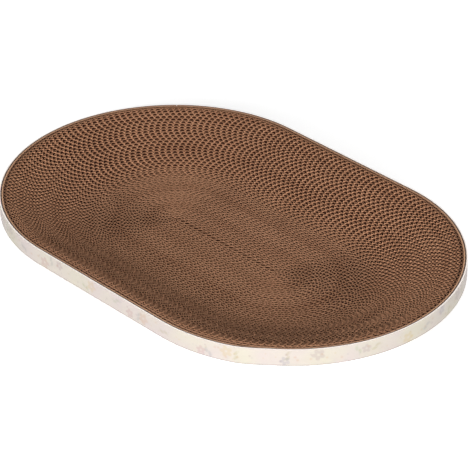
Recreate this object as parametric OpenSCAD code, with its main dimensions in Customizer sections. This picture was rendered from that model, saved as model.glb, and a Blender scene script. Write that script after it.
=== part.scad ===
// Oblong scratching dish: corrugated board wound on edge, pushed out into a dish and held by a printed band.
// The pad lies along X and stands on z = 0, with the origin under the middle of its outline.

/* [Dish] */
// Overall length of the pad
pad_l = 500; // [400:1:700]
// Overall width of the pad
pad_w = 332; // [260:1:380]
// Depth of the dish, from its rim to its floor
dish_depth = 32.5; // [15:0.5:45]
// Width of the flat floor, measured to where the slope would meet it
floor_w = 176; // [120:1:200]
// Width over which the floor curves up into the slope
knee_w = 30; // [10:1:60]
// Width of the level rim
rim_w = 9.5; // [4:0.5:20]
// How much further out the right-hand bends lie at the rim than at the centre fold
right_drift = 23; // [0:1:30]
// How much further out the left-hand bends lie at the rim than at the centre fold
left_drift = 11; // [0:1:30]

/* [Board] */
// Height of the board strips, standing on edge
strip_h = 17; // [12:0.5:30]
// Thickness of the corrugated board, before the winding pulls it tight
board_t = 3; // [2.5:0.05:5]
// Thickness of the board's flat facing
facing_t = 0.9; // [0.6:0.05:1.4]
// Distance from one open flute to the next, about half as much again as on real board
flute_pitch = 9.25; // [8:0.25:20]
// Clearance between one turn of board and the next
turn_gap = 0.25; // [0.15:0.05:0.4]
// Number of strips that are wound end to end
strip_count = 22; // [12:1:40]
// Gap where one strip ends and the next begins
butt_gap = 0.5; // [0.2:0.1:2]

/* [Band] */
// Thickness of the printed band, which is corrugated board too
band_t = 3.2; // [2:0.1:4.5]
// Angle round the near end at which the coil's last strip stops
coil_end_a = 28; // [10:1:100]
// Length over which the band comes down behind the coil's end
ramp_l = 30; // [6:1:40]
// Angle round the far left end at which the band's own ends meet
band_seam_a = 135; // [100:5:170]

/* [Hidden] */
board_colour = [0.59, 0.43, 0.33];
band_colour = [0.93, 0.87, 0.80];
$fn = 240;

// The coil's middle line is a run of stretches: a straight through the centre, then for each turn an arc
// round the right end, the top straight, an arc round the left end and the bottom straight. The arcs'
// centres lie a quarter of a turn's pitch off the axis, each to its own side, so all stretches meet smoothly.
coil_r = pad_w / 2 - band_t;
turns = round(coil_r / board_t - 0.5);
turn_pitch = coil_r / (turns + 0.5);
rim_x = (pad_l - pad_w) / 2 + turn_pitch / 4;
centre_y = turn_pitch / 4;
last = 4 * turns + 1;
half_t = turn_pitch / 2;
peak_off = half_t - turn_gap;
valley_off = facing_t - half_t;

// The bends drift outwards from the centre fold until the last turn, which follows the outline
function settled(i) = min(1, max(0, i - 1) / (last - 5));
function right_x(i) = rim_x - right_drift * (1 - settled(i));
function left_x(i) = rim_x - left_drift * (1 - settled(i));

// Distance of a stretch's middle line from the centre fold
function stretch_r(i) = half_t + (i - 1) * turn_pitch / 4;
function is_arc(i) = i % 2 == 1;
function stretch_len(i) =
    is_arc(i) ? PI * stretch_r(i) :
    i % 4 == 0 ? left_x(i - 1) + right_x(i + 1) :
    right_x(i - 1) + left_x(i + 1);
starts = [for (i = 0, s = 0; i <= last; s = s + stretch_len(i), i = i + 1) s];
coil_len = starts[last] + stretch_len(last) * coil_end_a / 180;
strip_len = coil_len / strip_count;
// A leftover of a strip that is shorter than this on a stretch is left out
min_len = butt_gap;

// The widest turn that one flute makes on a tight arc
flute_a = 30;
// How far the facing's corners may stand out from a true arc
face_dip = facing_t / 4;
// Part of a flute that is too short for a face of its own
skip_share = 0.05;

// How far the dish lifts a turn, by its distance from the centre seam
slope = dish_depth / (pad_w / 2 - rim_w - floor_w / 2);
function on_knee(r) = r - (floor_w - knee_w) / 2;
function lift(r) =
    on_knee(r) <= 0 ? 0 :
    on_knee(r) < knee_w ? slope * on_knee(r) * on_knee(r) / knee_w / 2 :
    min(dish_depth, slope * (on_knee(r) - knee_w / 2));

// Point at share f along stretch i, off to the outside of its middle line
function spot(i, f, off) =
    i % 4 == 0 ? [mix(-left_x(i - 1), right_x(i + 1), f), -stretch_r(i) - off] :
    i % 4 == 1 ? [right_x(i), centre_y] + (stretch_r(i) + off) * heading(180 * f - 90) :
    i % 4 == 2 ? [mix(right_x(i - 1), -left_x(i + 1), f), stretch_r(i) + off] :
    -[left_x(i), centre_y] + (stretch_r(i) + off) * heading(180 * f + 90);
function heading(a) = [cos(a), sin(a)];
function mix(f0, f1, share) = f0 + (f1 - f0) * share;

// The flutes run on from stretch to stretch; they are counted from the coil's inner end
function flutes_on(i) = max(stretch_len(i) / flute_pitch, is_arc(i) ? 180 / flute_a : 0);
passed = [for (i = 0, n = 0; i <= last; n = n + flutes_on(i), i = i + 1) n];
function count_at(i, f) = passed[i] + f * flutes_on(i);

// Corners of the fluted side between two counts: whole flutes are peaks and half ones are valleys
function corners(u0, u1) = concat(
    [u0],
    [for (k = [ceil(2 * (u0 + skip_share)) : 1 : floor(2 * (u1 - skip_share))]) k / 2],
    [u1]);
function flute_off(u) = mix(valley_off, peak_off, abs(2 * (u - floor(u)) - 1));

// Outer side: flutes as peaks that all but touch the next turn, with open valleys between them
function fluted_side(i, f0, f1) =
    [for (u = corners(count_at(i, f0), count_at(i, f1)))
        spot(i, (u - passed[i]) / flutes_on(i), flute_off(u))];

// Inner side: the flat facing. Its corners lie outside the arc, so that its faces touch the arc from outside.
function facing_side(i, f0, f1) = concat(
    [spot(i, f1, -half_t)],
    is_arc(i) ? facing_corners(i, f0, f1, max(1, ceil(180 * (f1 - f0) / face_a(i)))) : [],
    [spot(i, f0, -half_t)]);
function facing_corners(i, f0, f1, n) =
    [for (j = [n - 0.5 : -1 : 0.5])
        spot(i, mix(f0, f1, j / n), inner_r(i) / cos(90 * (f1 - f0) / n) - stretch_r(i))];
function inner_r(i) = stretch_r(i) - half_t;
function face_a(i) = min(flute_a, 2 * acos(inner_r(i) / (inner_r(i) + face_dip)));

module board_stretch(i, f0, f1) {
    translate([0, 0, lift(stretch_r(i))])
        linear_extrude(strip_h)
            polygon(concat(fluted_side(i, f0, f1), facing_side(i, f0, f1)));
}

function strip_name(n) = str("strip_", n < 10 ? "0" : "", n);

// Strip n takes its share of the coil's length, over as many stretches as that reaches
module board_strip(n) {
    from = (n - 1) * strip_len + butt_gap / 2;
    to = n * strip_len - butt_gap / 2;
    color(board_colour)
        place()
            for (i = [0 : last]) {
                lo = max(from, starts[i]);
                hi = min(to, starts[i] + stretch_len(i));
                if (hi - lo > min_len)
                    board_stretch(i, (lo - starts[i]) / stretch_len(i), (hi - starts[i]) / stretch_len(i));
            }
}

// The spiral reaches a little further left and down than right and up; this centres its outline
module place() {
    translate([centre_y, centre_y, 0]) children();
}

// The band has its flat facing outside and its flutes against the coil
band_valley = band_t - facing_t;
function band_off(j) = j % 2 == 0 ? 0 : band_valley;
function arc_flutes(r, a0, a1) = round(PI * r * (a1 - a0) / 180 / flute_pitch);

module wedge(r, a0, a1) {
    steps = ceil((a1 - a0) / 45);
    polygon(concat([[0, 0]], [for (j = [0 : steps]) 2 * r * heading(mix(a0, a1, j / steps))]));
}

module band_bend(c, r, a0, a1) {
    n = arc_flutes(r, a0, a1);
    translate(c)
        linear_extrude(strip_h)
            intersection() {
                difference() {
                    circle(r + band_t);
                    polygon(concat(
                        [[0, 0]],
                        [for (j = [-1 : 2 * n + 1]) (r + band_off(j)) * heading(mix(a0, a1, j / n / 2))]));
                }
                wedge(r + band_t, a0, a1);
            }
}

module band_straight(i) {
    n = round(stretch_len(i) / flute_pitch);
    linear_extrude(strip_h)
        polygon(concat(
            [for (j = [0 : 2 * n]) spot(i, j / n / 2, half_t + band_off(j))],
            [spot(i, 1, half_t + band_t), spot(i, 0, half_t + band_t)]));
}

// Round the right end the band passes the coil's end and comes down behind it by one turn's pitch
last_r = stretch_r(last);
end_a = coil_end_a - 90;
down_a = end_a + ramp_l / last_r * 180 / PI;

function right_spot(a, off) = [rim_x, centre_y] + (last_r + off + (a > end_a ? -half_t : half_t)) * heading(a);
function right_run(a0, a1, n) = [for (j = [0 : 2 * n]) [mix(a0, a1, j / n / 2), band_off(j)]];
right_steps = concat(
    right_run(-90, end_a, arc_flutes(last_r, -90, end_a)),
    right_run(down_a, 90, arc_flutes(last_r, down_a, 90)));

module band_right() {
    inner = [for (p = right_steps) right_spot(p[0], p[1])];
    outer = [for (j = [len(right_steps) - 1 : -1 : 0]) right_spot(right_steps[j][0], band_t)];
    linear_extrude(strip_h)
        polygon(concat(inner, outer));
}

module printed_band() {
    left_r = stretch_r(last - 2) + half_t;
    seam_half_a = butt_gap / 2 / left_r * 180 / PI;
    color(band_colour)
        place()
            translate([0, 0, dish_depth]) {
                band_right();
                band_straight(last - 3);
                band_bend(-[rim_x, centre_y], left_r, 90, band_seam_a - seam_half_a);
                band_bend(-[rim_x, centre_y], left_r, band_seam_a + seam_half_a, 270);
                band_straight(last - 1);
            }
}

for (n = [1 : strip_count])
    board_strip(n);
printed_band();
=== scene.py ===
import math

import bpy
import numpy as np
from mathutils import Matrix, Vector


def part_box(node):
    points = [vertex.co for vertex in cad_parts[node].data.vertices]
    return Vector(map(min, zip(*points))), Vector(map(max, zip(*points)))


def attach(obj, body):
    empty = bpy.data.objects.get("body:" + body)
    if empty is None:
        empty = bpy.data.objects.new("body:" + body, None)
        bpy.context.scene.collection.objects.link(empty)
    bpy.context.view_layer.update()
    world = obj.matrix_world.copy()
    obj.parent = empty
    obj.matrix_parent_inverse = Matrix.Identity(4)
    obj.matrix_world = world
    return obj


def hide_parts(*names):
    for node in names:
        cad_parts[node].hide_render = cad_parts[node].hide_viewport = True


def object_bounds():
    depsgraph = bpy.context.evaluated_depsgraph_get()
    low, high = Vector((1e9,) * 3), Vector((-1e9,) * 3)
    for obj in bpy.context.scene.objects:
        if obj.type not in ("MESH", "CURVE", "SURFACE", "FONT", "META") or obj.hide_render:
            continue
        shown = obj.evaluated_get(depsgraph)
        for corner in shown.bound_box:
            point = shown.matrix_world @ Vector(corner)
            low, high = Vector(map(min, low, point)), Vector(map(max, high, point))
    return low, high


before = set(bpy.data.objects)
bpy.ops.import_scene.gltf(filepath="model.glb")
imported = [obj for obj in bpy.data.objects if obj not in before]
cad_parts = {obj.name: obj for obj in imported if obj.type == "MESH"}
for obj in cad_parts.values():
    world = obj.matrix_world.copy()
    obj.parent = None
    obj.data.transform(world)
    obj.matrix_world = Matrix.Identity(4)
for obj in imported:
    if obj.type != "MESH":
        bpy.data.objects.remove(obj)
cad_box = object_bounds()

# Sizes of the pad, in metres, as in the construction model
PAD_L, PAD_W, PAD_H = cad_box[1] - cad_box[0]
STRIP_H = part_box("strip_01")[1].z
DISH = PAD_H - STRIP_H
FLOOR_W = 0.176
KNEE_W = 0.030
RIM_W = 0.0095
RIGHT_DRIFT = 0.023
LEFT_DRIFT = 0.011
BOARD_T = 0.003
BAND_T = 0.0032
COIL_END = math.radians(28)
RAMP_L = 0.030
BAND_SEAM = math.radians(135)
BUTT_GAP = 0.0005

# The board's sheets, in metres: LINER_T doubles over THICKEN_L where the last turn begins
LINER_T = 0.0003
MEDIUM_T = 0.0005
PRINT_T = 0.0012
GLUE_GAP = 0.00001
FOLD_GAP = 0.0001
THICKEN_L = 0.1

# Unevenness of the board's cut edges, and the lengths of its two waves along the coil, in metres
UNEVEN = 0.00012
SHORT_WAVE = 0.045
LONG_WAVE = 0.4

# How the flutes of one turn lie against those of the turn inside it, in flutes. FIRST_STEP moves them on
# with every turn, and past LATE_TURN that step changes from turn to turn.
TURNS_PER_SCALE = 5.42
FIRST_STEP = 0.30
LATE_STEP = -0.0305
LATE_TURN = 32.5
JITTER = 0.03

# The wave's shape, the points per flute, and the bend radius below which there are four times as many
ARCH_POWER = 4.0
MAX_STEEP = 2.0
FLUTE_STEPS = 12
LINER_STEPS = 4
TIGHT_R = 0.012

# Brown board: painted shade darkens the walls below the top, from SHADE_FROM of SHADE_DEPTH to all of it,
# and crests that the dish bares stay light. The last turn has its own colours.
SHADE_DEPTH = 0.0006
SHADE_FROM = 0.35
BARE_POWER = 1.5
WHITE = (1, 1, 1)
SHADE_DEEP = (0.08, 0.04, 0.02)
DARK = (0.325, 0.154, 0.082)
LIGHT = (0.495, 0.260, 0.148)
LINER_TONE = 0.75
OUTER_WALL = (0.20, 0.095, 0.05)
OUTER_MEDIUM = (0.24, 0.115, 0.065)
OUTER_LINER = (0.74, 0.43, 0.26)

# The band's paper and board
PAPER_PINK = (0.375, 0.325, 0.312)
PAPER_YELLOW = (0.380, 0.350, 0.288)
# A thin painted shade along the band's lower edge: its height and how much it darkens
EDGE_SHADE_H = 0.0010
EDGE_SHADE_TONE = 0.45
# The band's inside walls: brown board painted darker with the shade inside its flutes
SHADED_INSIDE = (0.10, 0.06, 0.045)
INSIDE_EDGE = (0.24, 0.17, 0.135)
INNER_DARK = (0.56, 0.32, 0.19)
INNER_LIGHT = (0.74, 0.44, 0.27)
FACE_EDGE_DARK = (0.90, 0.80, 0.74)
FACE_EDGE_LIGHT = (0.97, 0.90, 0.85)
# The band's top edge glows a little: a painted highlight
FACE_EDGE_PAINTED_GLOW = 0.15
PETALS = [
    (0.84, 0.68, 0.72),
    (0.68, 0.72, 0.82),
    (0.95, 0.86, 0.66),
    (0.76, 0.70, 0.76),
    (0.92, 0.76, 0.66),
]
LEAVES = [(0.74, 0.84, 0.70), (0.70, 0.76, 0.80), (0.80, 0.80, 0.66)]

# The print: one motif per MOTIF_PITCH along the band. Flowers are shift and radius, sprigs are shifts, and
# dots are pitch and shift. The stem's and the leaves' sizes are half lengths and half widths.
MOTIF_PITCH = 0.083
FLOWERS = [(0.0, 0.0062), (0.041, 0.0048)]
SPRIGS = [0.020, 0.062]
DOTS = [(0.0105, 0.003), (0.0137, 0.009)]
STEM = (0.006, 0.00025)
LEAF = (0.003, 0.0012)
LEAF_AT = (0.002, 0.0014)
INK_EDGE = 0.0006

# Lamps: name, azimuth and elevation in degrees, width in metres and watts. All of them are LAMP_FAR from a
# point LAMP_AIM above the middle of the pad.
LAMP_FAR = 2.4
LAMP_AIM = 0.03
LAMPS = [
    ("front_right", 60, 20, 0.9, 32),
    ("above", 20, 75, 1.2, 4),
    ("right", 118, 8, 0.9, 14),
    ("back", 225, 12, 1.2, 8),
    ("front_left", 20, 20, 0.9, 53),
]
WORLD_LIGHT = 0.20
FLOOR_GLOW = 0.62
FLOOR_HALF = 12.0

# The photograph's view: degrees, metres and millimetres of lens on a sensor 36 wide
VIEW_AZ = 46.87
VIEW_EL = 31.68
VIEW_ROLL = -0.7
VIEW_FAR = 2.533
VIEW_AT = (0.00664, 0.00242)
LENS = 202.1

STRIPS = sorted(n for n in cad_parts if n.startswith("strip_"))

# The coil's middle line: a straight, then for each turn an arc, a straight, an arc and a straight
coil_r = PAD_W / 2 - BAND_T
turns = round(coil_r / BOARD_T - 0.5)
turn_pitch = coil_r / (turns + 0.5)
rim_x = (PAD_L - PAD_W) / 2 + turn_pitch / 4
centre_y = turn_pitch / 4
half_t = turn_pitch / 2
last = 4 * turns + 1
stretches = np.arange(last + 1)
stretch_r = half_t + (stretches - 1) * turn_pitch / 4
unsettled = 1 - np.clip((np.arange(-1, last + 2) - 1) / (last - 5), 0, 1)
right_x = rim_x - RIGHT_DRIFT * unsettled
left_x = rim_x - LEFT_DRIFT * unsettled
# Where each stretch starts and ends along X; an arc starts and ends at its centre
kinds = stretches % 4
before, here, after = slice(0, -2), slice(1, -1), slice(2, None)
is_kind = [kinds == 0, kinds == 1, kinds == 2]
stretch_x0 = np.select(is_kind, [-left_x[before], right_x[here], right_x[before]], -left_x[here])
stretch_x1 = np.select(is_kind, [right_x[after], right_x[here], -left_x[after]], -left_x[here])
stretch_len = np.where(kinds % 2 == 1, np.pi * stretch_r, abs(stretch_x1 - stretch_x0))
starts = np.concatenate([[0], np.cumsum(stretch_len)])
coil_len = starts[last] + stretch_r[last] * COIL_END
strip_len = coil_len / len(STRIPS)

# Each turn is longer than the one inside it by this much. That is three flutes and a little more, so the
# flutes of neighbouring turns line up in short curved columns, one set after another.
turn_growth = 2 * np.pi * turn_pitch + 8 * (RIGHT_DRIFT + LEFT_DRIFT) / (last - 5)
FLUTE_PITCH = turn_growth / (3 + 1 / TURNS_PER_SCALE)


class Line:
    """Points of the coil's middle line at lengths s, with what the sheets need to follow it."""

    def __init__(self, s):
        i = np.clip(np.searchsorted(starts, s, side="right") - 1, 0, last)
        f = (s - starts[i]) / stretch_len[i]
        kind, r = i % 4, stretch_r[i]
        arc = kind % 2 == 1
        angle = np.pi * (f + np.where(kind == 1, -0.5, 0.5))
        nx = np.where(arc, np.cos(angle), 0)
        ny = np.where(arc, np.sin(angle), np.where(kind == 0, -1, 1))
        x = stretch_x0[i] * (1 - f) + stretch_x1[i] * f + r * nx
        y = r * ny + np.select([kind == 1, kind == 3], [centre_y, -centre_y], 0)
        drift = np.where(kind == 1, RIGHT_DRIFT, LEFT_DRIFT) * 4 / (last - 5)
        self.s = s
        self.at = np.stack([x + centre_y, y + centre_y], 1)
        self.normal = np.stack([nx, ny], 1)
        # Distance from the centre fold, rising evenly from stretch to stretch
        self.reach = r + (f - 0.5) * turn_pitch / 4
        # How much wider the turns lie where the bends drift outwards
        self.spread = np.where(arc & (i < last - 4), drift * abs(nx), 0)


def lift(reach):
    """How far the dish raises the coil at a distance from the centre fold."""
    slope = DISH / (PAD_W / 2 - RIM_W - FLOOR_W / 2)
    on_knee = reach - (FLOOR_W - KNEE_W) / 2
    curved = slope * np.clip(on_knee, 0, KNEE_W) ** 2 / KNEE_W / 2
    return np.minimum(DISH, curved + slope * np.maximum(on_knee - KNEE_W, 0))


def stations(s0, s1, step):
    """Lengths from s0 to s1 at whole steps, with finer steps round the tight bends of the fold."""
    s = np.arange(math.ceil(s0 / step + 0.1), math.floor(s1 / step - 0.1) + 1) * step
    fine = np.arange(0, starts[np.searchsorted(stretch_r, TIGHT_R)], step / 4)
    fine = fine[(fine > s0) & (fine < s1) & (Line(fine).reach < TIGHT_R)]
    return np.unique(np.round(np.concatenate([[s0], s, fine, [s1]]), 7))


def smooth_noise(s, wave, seed):
    """A gentle random wave along the coil, from -1 to 1."""
    rng = np.random.default_rng(seed)
    knots = rng.uniform(-1, 1, int(starts[-1] / wave) + 4)
    at = np.clip(s / wave, 0, len(knots) - 2)
    k = at.astype(int)
    w = at - k
    w = w * w * (3 - 2 * w)
    return knots[k] * (1 - w) + knots[k + 1] * w


def sheet(line, inner, outer, low, high, slots, bare=None):
    """A sheet on edge between two offsets from the coil.

    The slots are its inner, top, outer and bottom materials. Its map has the length along the coil and the
    depth below the top. Where the dish bares the top of the inner side, that side counts as less deep.
    """
    a = line.at + line.normal * inner[:, None]
    b = line.at + line.normal * outer[:, None]
    corners = [np.column_stack([p, z]) for p, z in ((a, low), (a, high), (b, high), (b, low))]
    points = np.stack(corners, 1).reshape(-1, 3)
    count = len(line.s) - 1
    k = np.arange(count)[:, None] * 4
    faces = [k + np.array([p, p + 4, q + 4, q]) for p, q in ((0, 1), (1, 2), (2, 3), (3, 0))]
    ends = np.array([[0, 1, 2, 3], [3, 2, 1, 0]]) + np.array([[0], [4 * count]])
    faces = np.concatenate([np.stack(faces, 1).reshape(-1, 4), ends])
    slots = np.concatenate([np.tile(slots, count), [slots[1]] * 2])
    depth = np.stack([high - low, 0 * low, 0 * low, high - low], 1)
    uv = np.column_stack([np.repeat(line.s, 4), depth.reshape(-1)])[faces]
    if bare is not None:
        uv[:4 * count:4, :, 1] -= np.stack([bare[:-1], bare[1:], bare[1:], bare[:-1]], 1)
    return points, faces, slots, uv


def make_mesh(name, parts, materials):
    """One object from several sheets."""
    points, faces, slots, uvs, base = [], [], [], [], 0
    for p, f, m, uv in parts:
        points.append(p)
        faces.append(f + base)
        slots.append(m)
        uvs.append(uv)
        base += len(p)
    points, faces, slots, uvs = map(np.concatenate, (points, faces, slots, uvs))
    mesh = bpy.data.meshes.new(name)
    mesh.from_pydata(points.tolist(), [], faces.tolist())
    for m in materials:
        mesh.materials.append(m)
    mesh.polygons.foreach_set("material_index", slots.astype(np.int32))
    layer = mesh.uv_layers.new(name="UVMap")
    layer.data.foreach_set("uv", uvs.astype(np.float32).reshape(-1))
    mesh.update()
    obj = bpy.data.objects.new(name, mesh)
    bpy.context.scene.collection.objects.link(obj)
    return obj


def heights(line):
    """Bottom and top of the board: the dish's lift, with the small unevenness of cut and pressed board.

    The unevenness only lowers the top, and it spares the flat bottom on which the pad stands.
    """
    uneven = UNEVEN * (smooth_noise(line.s, SHORT_WAVE, 3) + smooth_noise(line.s, LONG_WAVE, 4) - 2)
    up = lift(line.reach)
    on_slope = up > 0.001
    return up + np.where(on_slope, uneven + 2 * UNEVEN, 0), up + STRIP_H + uneven


def arches(line, seed):
    """The medium's wave: rounded arches from 0 to 1 that meet in narrow troughs, a little uneven."""
    turn = line.reach / turn_pitch
    count = line.s / FLUTE_PITCH + FIRST_STEP * turn + LATE_STEP * np.maximum(turn - LATE_TURN, 0) ** 2
    count = count + JITTER * smooth_noise(line.s, 0.09, seed)
    return abs(np.sin(np.pi * count)) ** (ARCH_POWER * (1 + 0.2 * smooth_noise(line.s, 0.02, seed + 1)))


def medium(line, low_side, high_side, low, high, slots, seed, bare=None):
    """A wavy sheet whose middle swings between two offsets; its thickness is kept square to the wave."""
    wave = arches(line, seed)
    if bare is not None:
        bare = bare * wave ** BARE_POWER
    wave = high_side + (low_side - high_side) * wave
    steep = np.minimum(abs(np.gradient(wave, line.s)), MAX_STEEP)
    half = MEDIUM_T / 2 * np.sqrt(1 + steep ** 2)
    inner = np.maximum(wave - half, low_side - MEDIUM_T / 2)
    outer = np.minimum(wave + half, high_side + MEDIUM_T / 2)
    return sheet(line, inner, outer, low, high, slots, bare)


def board_strip(n, wall, edge, liner_edge):
    s0, s1 = n * strip_len + BUTT_GAP / 2, (n + 1) * strip_len - BUTT_GAP / 2
    parts = []
    for step in (FLUTE_PITCH / LINER_STEPS, FLUTE_PITCH / FLUTE_STEPS):
        line = Line(stations(s0, s1, step))
        low, high = heights(line)
        foot = -half_t + GLUE_GAP + np.where(line.reach < turn_pitch, FOLD_GAP, 0)
        top = np.full(len(line.s), half_t - GLUE_GAP)
        # The last turn has the heavier facing that shows as a pale line all along the rim
        liner = LINER_T * (1 + np.clip((line.s - starts[last - 5]) / THICKEN_L, 0, 1))
        if step == FLUTE_PITCH / LINER_STEPS:
            parts.append(sheet(line, top - liner, top, low, high, [0, 2, 0, 2]))
        else:
            bare = lift(line.reach) - lift(line.reach - turn_pitch)
            parts.append(medium(line, foot - line.spread + MEDIUM_T / 2, top - liner - MEDIUM_T / 2,
                                low, high, [0, 1, 0, 1], 7, bare))
    return make_mesh("board_" + STRIPS[n], parts, [wall, edge, liner_edge])


def printed_band(face, inside, face_edge, inside_edge, inner_edge):
    """Once round the outside, from the butt joint on the far left bend and back to it.

    Past the coil's end it comes down by one turn's pitch, and goes on round the turn before the last.
    """
    joint = starts[last - 2] + (BAND_SEAM - math.pi / 2) * stretch_r[last - 2]
    down = COIL_END + RAMP_L / stretch_r[last]
    first = (joint + BUTT_GAP / 2, coil_len + RAMP_L)
    second = (starts[last - 4] + down * stretch_r[last - 4], joint - BUTT_GAP / 2)
    parts, passed = [], 0
    for s0, s1 in (first, second):
        for step in (FLUTE_PITCH / LINER_STEPS, FLUTE_PITCH / FLUTE_STEPS):
            line = Line(stations(s0, s1, step))
            foot = half_t - np.clip((line.s - coil_len) / RAMP_L, 0, 1) * turn_pitch
            low = np.full(len(line.s), DISH)
            high = low + STRIP_H
            print_foot = foot + BAND_T - PRINT_T
            inner_top = foot + 2 * LINER_T
            if step == FLUTE_PITCH / LINER_STEPS:
                made = [sheet(line, foot, inner_top, low, high, [1, 4, 1, 4]),
                        sheet(line, print_foot, foot + BAND_T, low, high, [1, 2, 0, 2])]
            else:
                made = [medium(line, inner_top + MEDIUM_T / 2, print_foot - MEDIUM_T / 2,
                               low, high, [1, 3, 1, 3], 11)]
            parts += [(p, f, m, uv - np.array([s0 - passed, 0])) for p, f, m, uv in made]
        passed += s1 - s0
    return make_mesh("band_print", parts, [face, inside, face_edge, inside_edge, inner_edge])


class Nodes:
    """Short calls for a material's node tree."""

    def __init__(self, name):
        self.material = bpy.data.materials.new(name)
        self.material.use_nodes = True
        self.tree = self.material.node_tree
        self.shader = self.tree.nodes["Principled BSDF"]

    def add(self, kind, inputs=(), **settings):
        node = self.tree.nodes.new(kind)
        for key, value in settings.items():
            setattr(node, key, value)
        for key, value in dict(inputs).items():
            self.join(value, node.inputs[key])
        return node

    def join(self, value, socket):
        if isinstance(value, bpy.types.NodeSocket):
            self.tree.links.new(value, socket)
        else:
            socket.default_value = value

    def math(self, operation, a, b=0.0, c=0.0):
        return self.add("ShaderNodeMath", {0: a, 1: b, 2: c}, operation=operation).outputs[0]

    def coords(self, scale, output="Object"):
        source = self.add("ShaderNodeTexCoord").outputs[output]
        return self.add("ShaderNodeMapping", {"Vector": source, "Scale": scale}).outputs[0]

    def map_coords(self):
        place = self.add("ShaderNodeUVMap", uv_map="UVMap").outputs[0]
        return self.add("ShaderNodeSeparateXYZ", {0: place}).outputs[:2]

    def noise(self, vector, scale, detail=3.0, rough=0.55):
        return self.add("ShaderNodeTexNoise", {"Vector": vector, "Scale": scale, "Detail": detail,
                                               "Roughness": rough}).outputs["Fac"]

    def ramp(self, fac, stops):
        node = self.add("ShaderNodeValToRGB", {"Fac": fac})
        elements = node.color_ramp.elements
        while len(elements) < len(stops):
            elements.new(0.5)
        for element, (place, colour) in zip(elements, stops):
            element.position = place
            element.color = (*colour, 1)
        return node.outputs["Color"]

    def mix(self, fac, a, b, blend="MIX"):
        node = self.add("ShaderNodeMix", {0: fac, 6: a, 7: b}, data_type="RGBA", blend_type=blend)
        return node.outputs[2]

    def bump(self, height, strength, distance):
        return self.add("ShaderNodeBump", {"Height": height, "Strength": strength,
                                           "Distance": distance}).outputs["Normal"]


def kraft(name, dark, light, outer, fibre_scale, bump, deep_shade):
    """Brown board: blotches of colour, fine fibres and a matte, slightly hairy surface.

    The map's coordinates are the length along the coil and the depth below the board's top. Strips differ
    a little in tone, the last turns take the outer colour, and painted shade darkens walls down inside the
    flutes.
    """
    n = Nodes(name)
    along, below = n.map_coords()
    strip = n.math("FLOOR", n.math("DIVIDE", along, strip_len))
    strip_tone = n.add("ShaderNodeTexWhiteNoise", {"W": strip}, noise_dimensions="1D").outputs["Value"]
    streak = n.noise(n.add("ShaderNodeCombineXYZ", {0: along}).outputs[0], 9.0, 3, 0.6)
    blotch = n.noise(n.coords((1, 1, 1)), 30.0, 3)
    fibre = n.noise(n.coords((1, 1, 0.25)), fibre_scale, 4, 0.7)
    tone = n.math("MULTIPLY_ADD", fibre, 0.5, n.math("MULTIPLY", blotch, 0.2))
    tone = n.math("ADD", tone, n.math("MULTIPLY", streak, 0.2))
    tone = n.math("MULTIPLY_ADD", strip_tone, 0.1, tone)
    colour = n.ramp(tone, [(0.34, dark), (0.66, light)])
    rim_from, rim_to = float(starts[last - 5]), float(starts[last - 3])
    late = n.add("ShaderNodeMapRange", {0: along, 1: rim_from, 2: rim_to}).outputs[0]
    colour = n.mix(late, colour, (*outer, 1))
    # Painted shade: walls get darker with depth below the top edge, down to deep_shade
    depth = n.math("MINIMUM", below, n.math("SUBTRACT", STRIP_H, below))
    shade = n.ramp(n.math("DIVIDE", depth, SHADE_DEPTH), [(SHADE_FROM, WHITE), (1.0, deep_shade)])
    n.join(n.mix(1.0, colour, shade, "MULTIPLY"), n.shader.inputs["Base Color"])
    n.join(n.math("MULTIPLY_ADD", fibre, 0.12, 0.84), n.shader.inputs["Roughness"])
    n.shader.inputs["Specular IOR Level"].default_value = 0.2
    n.join(n.bump(fibre, bump, 0.0002), n.shader.inputs["Normal"])
    return n.material


def plain_board(name, dark, light, fibre_scale, rough=0.85, bump=0.4, painted_glow=0.0):
    """Board of one plain colour, for the band's inside and its cut edges, with an optional painted glow.
    """
    n = Nodes(name)
    fibre = n.noise(n.coords((1, 1, 0.3)), fibre_scale, 4, 0.7)
    n.join(n.ramp(fibre, [(0.32, dark), (0.68, light)]), n.shader.inputs["Base Color"])
    n.shader.inputs["Roughness"].default_value = rough
    n.shader.inputs["Emission Color"].default_value = (1, 0.96, 0.94, 1)
    # A glow set here is a painted highlight, not a lamp
    n.shader.inputs["Emission Strength"].default_value = painted_glow
    n.shader.inputs["Specular IOR Level"].default_value = 0.2
    n.join(n.bump(fibre, bump, 0.0002), n.shader.inputs["Normal"])
    return n.material


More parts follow.
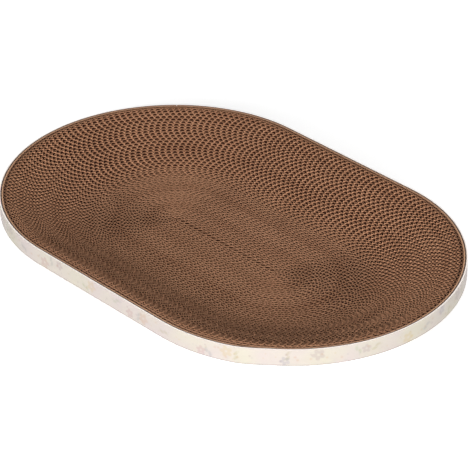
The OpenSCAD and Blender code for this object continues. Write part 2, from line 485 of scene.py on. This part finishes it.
def print_paper(name):
    """Cream paper with a faint pastel pattern of small flowers, leaves and dots."""
    n = Nodes(name)
    along_band, below = n.map_coords()
    grain = n.noise(n.coords((1, 1, 1)), 1100.0, 3, 0.6)
    wash = n.noise(n.coords((1, 1, 1)), 26.0, 2, 0.5)
    colour = n.ramp(wash, [(0.35, PAPER_PINK), (0.65, PAPER_YELLOW)])
    ink_noise = n.noise(n.coords((1, 1, 1)), 500.0, 3, 0.7)

    def cell(pitch, shift):
        """Which copy of a motif this is, and where the point lies from its middle, turned at random."""
        turn = n.math("DIVIDE", n.math("ADD", along_band, shift), pitch)
        which = n.math("FLOOR", turn)
        seed = n.math("ADD", which, shift * 977)
        rnd = n.add("ShaderNodeTexWhiteNoise", {"W": seed}, noise_dimensions="1D")
        r = n.add("ShaderNodeSeparateColor", {0: rnd.outputs["Color"]}).outputs
        x = n.math("MULTIPLY", n.math("ADD", n.math("SUBTRACT", turn, which), -0.5), pitch)
        x = n.math("ADD", x, n.math("MULTIPLY", n.math("ADD", r[0], -0.5), pitch * 0.35))
        y = n.math("ADD", below, n.math("MULTIPLY_ADD", r[1], -STRIP_H * 0.5, -STRIP_H * 0.25))
        a = n.math("MULTIPLY", r[2], math.tau)
        ca, sa = n.math("COSINE", a), n.math("SINE", a)
        xr = n.math("ADD", n.math("MULTIPLY", x, ca), n.math("MULTIPLY", y, sa))
        yr = n.math("SUBTRACT", n.math("MULTIPLY", y, ca), n.math("MULTIPLY", x, sa))
        return rnd.outputs["Value"], xr, yr

    def print_on(base, inside, ink, strength):
        """Ink where inside is above 0, in metres, with a slightly soft and broken edge."""
        ragged = n.math("ADD", inside, n.math("MULTIPLY_ADD", ink_noise, 2 * INK_EDGE, -INK_EDGE))
        mask = n.add("ShaderNodeMapRange", {0: ragged, 1: -INK_EDGE, 2: INK_EDGE, 4: strength}).outputs[0]
        return n.mix(mask, base, ink, "MULTIPLY")

    def inks(value, tints):
        node = n.add("ShaderNodeValToRGB", {"Fac": value})
        node.color_ramp.interpolation = "CONSTANT"
        while len(node.color_ramp.elements) < len(tints):
            node.color_ramp.elements.new(0.5)
        for k, (element, tint) in enumerate(zip(node.color_ramp.elements, tints)):
            element.position = k / len(tints)
            element.color = (*tint, 1)
        return node.outputs["Color"]

    # Five-petalled flowers with an open heart
    for shift, size in FLOWERS:
        value, x, y = cell(MOTIF_PITCH, shift)
        r = n.math("SQRT", n.math("ADD", n.math("MULTIPLY", x, x), n.math("MULTIPLY", y, y)))
        wave = n.math("ABSOLUTE", n.math("COSINE", n.math("MULTIPLY", n.math("ARCTAN2", y, x), 2.5)))
        edge = n.math("MULTIPLY_ADD", wave, size * 0.45, size * 0.55)
        ring = n.math("MINIMUM", n.math("SUBTRACT", edge, r), n.math("ADD", r, -size * 0.2))
        colour = print_on(colour, ring, inks(value, PETALS), 0.65)
    # Sprigs: a thin stem with two leaves
    for shift in SPRIGS:
        value, x, y = cell(MOTIF_PITCH, shift)
        ink = inks(value, LEAVES)
        stem = n.math("MINIMUM", n.math("SUBTRACT", STEM[1], n.math("ABSOLUTE", y)),
                      n.math("SUBTRACT", STEM[0], n.math("ABSOLUTE", x)))
        colour = print_on(colour, stem, ink, 0.6)
        for side in (-1, 1):
            lx = n.math("ADD", x, side * LEAF_AT[0])
            to_tip = n.math("ABSOLUTE", n.math("DIVIDE", lx, LEAF[0]))
            width = n.math("SUBTRACT", 1.0, n.math("POWER", to_tip, 2.0))
            off = n.math("ABSOLUTE", n.math("ADD", y, -side * LEAF_AT[1]))
            leaf = n.math("SUBTRACT", n.math("MULTIPLY", width, LEAF[1]), off)
            colour = print_on(colour, leaf, ink, 0.7)
    # Scattered dots
    for pitch, shift in DOTS:
        value, x, y = cell(pitch, shift)
        r = n.math("SQRT", n.math("ADD", n.math("MULTIPLY", x, x), n.math("MULTIPLY", y, y)))
        dot = n.math("SUBTRACT", n.math("MULTIPLY_ADD", value, 0.0011, 0.0002), r)
        colour = print_on(colour, dot, inks(value, PETALS), 0.6)

    # The lower edge gets a thin painted shade
    edge_shade = n.add("ShaderNodeMapRange", {0: below, 1: STRIP_H - EDGE_SHADE_H, 2: STRIP_H - EDGE_SHADE_H / 5,
                                          3: 0.0, 4: EDGE_SHADE_TONE}).outputs[0]
    grain_and_edge_shade = n.math("SUBTRACT", n.math("MULTIPLY_ADD", grain, 0.10, 0.95), edge_shade)
    grey = n.add("ShaderNodeCombineColor", {0: grain_and_edge_shade, 1: grain_and_edge_shade, 2: grain_and_edge_shade}).outputs[0]
    colour = n.mix(1.0, colour, grey, "MULTIPLY")
    n.join(colour, n.shader.inputs["Base Color"])
    n.shader.inputs["Roughness"].default_value = 0.55
    n.join(n.bump(grain, 0.15, 0.0001), n.shader.inputs["Normal"])
    return n.material


def toned(colour, share):
    return [share * v for v in colour]


board_wall = kraft("board_wall", DARK, LIGHT, OUTER_WALL, 900.0, 0.4, SHADE_DEEP)
board_edge = kraft("board_edge", DARK, LIGHT, OUTER_MEDIUM, 1600.0, 0.7, WHITE)
liner_edge = kraft("liner_edge", toned(DARK, LINER_TONE), toned(LIGHT, LINER_TONE), OUTER_LINER,
                   1600.0, 0.7, WHITE)
band_face = print_paper("band_paper")
# Painted shade: the band's flute walls are brown board painted dark
band_inside_shaded = plain_board("band_inside_shaded", toned(SHADED_INSIDE, 0.8), toned(SHADED_INSIDE, 1.3), 900.0)
band_face_edge = plain_board("band_face_edge", FACE_EDGE_DARK, FACE_EDGE_LIGHT,
                             1500.0, 0.7, 0.2, FACE_EDGE_PAINTED_GLOW)
band_inner_edge = plain_board("band_inner_edge", INNER_DARK, INNER_LIGHT, 1500.0)
band_inside_edge = plain_board("band_inside_edge", toned(INSIDE_EDGE, 0.8), toned(INSIDE_EDGE, 1.2),
                               1500.0)

for index, node in enumerate(STRIPS):
    strip = board_strip(index, board_wall, board_edge, liner_edge)
    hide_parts(node)
    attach(strip, "root")

band = printed_band(band_face, band_inside_shaded, band_face_edge, band_inside_edge, band_inner_edge)
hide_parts("printed_band")
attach(band, "root")


def make_floor():
    n = Nodes("floor")
    tone = n.noise(n.coords((1, 1, 1)), 6.0, 2)
    colour = n.ramp(tone, [(0.3, (0.86, 0.86, 0.86)), (0.7, (0.90, 0.90, 0.90))])
    n.join(colour, n.shader.inputs["Base Color"])
    n.shader.inputs["Roughness"].default_value = 0.9
    n.shader.inputs["Emission Color"].default_value = (1, 1, 1, 1)
    n.shader.inputs["Emission Strength"].default_value = FLOOR_GLOW
    mesh = bpy.data.meshes.new("floor")
    corners = [(-1, -1), (1, -1), (1, 1), (-1, 1)]
    mesh.from_pydata([(x * FLOOR_HALF, y * FLOOR_HALF, 0) for x, y in corners], [], [(0, 1, 2, 3)])
    mesh.materials.append(n.material)
    floor = bpy.data.objects.new("floor", mesh)
    bpy.context.scene.collection.objects.link(floor)


def look_matrix(eye, back, roll=0.0):
    right = Vector((-back.y, back.x, 0)).normalized()
    up = back.cross(right)
    c, s = math.cos(roll), math.sin(roll)
    r, u = right * c + up * s, up * c - right * s
    m = Matrix((r, u, back)).transposed().to_4x4()
    m.translation = eye
    return m


def direction(azimuth, elevation):
    a, e = math.radians(azimuth), math.radians(elevation)
    return Vector((math.sin(a) * math.cos(e), -math.cos(a) * math.cos(e), math.sin(e)))


def area_light(name, azimuth, elevation, size, power):
    light = bpy.data.lights.new(name, "AREA")
    light.shape = "DISK"
    light.size = size
    light.energy = power
    back = direction(azimuth, elevation)
    obj = bpy.data.objects.new(name, light)
    obj.matrix_world = look_matrix(Vector((0, 0, LAMP_AIM)) + back * LAMP_FAR, back)
    bpy.context.scene.collection.objects.link(obj)


def make_camera():
    camera = bpy.data.objects.new("camera", bpy.data.cameras.new("camera"))
    camera.data.sensor_width = 36.0
    camera.data.lens = LENS
    back = direction(VIEW_AZ, VIEW_EL)
    eye = Vector((*VIEW_AT, DISH)) + back * VIEW_FAR
    camera.matrix_world = look_matrix(eye, back, math.radians(VIEW_ROLL))
    bpy.context.scene.collection.objects.link(camera)
    bpy.context.scene.camera = camera


make_floor()
for lamp in LAMPS:
    area_light(*lamp)
world = bpy.data.worlds.new("studio")
world.use_nodes = True
world.node_tree.nodes["Background"].inputs["Color"].default_value = (1, 1, 1, 1)
world.node_tree.nodes["Background"].inputs["Strength"].default_value = WORLD_LIGHT
bpy.context.scene.world = world
bpy.context.scene.view_settings.view_transform = "Standard"
make_camera()
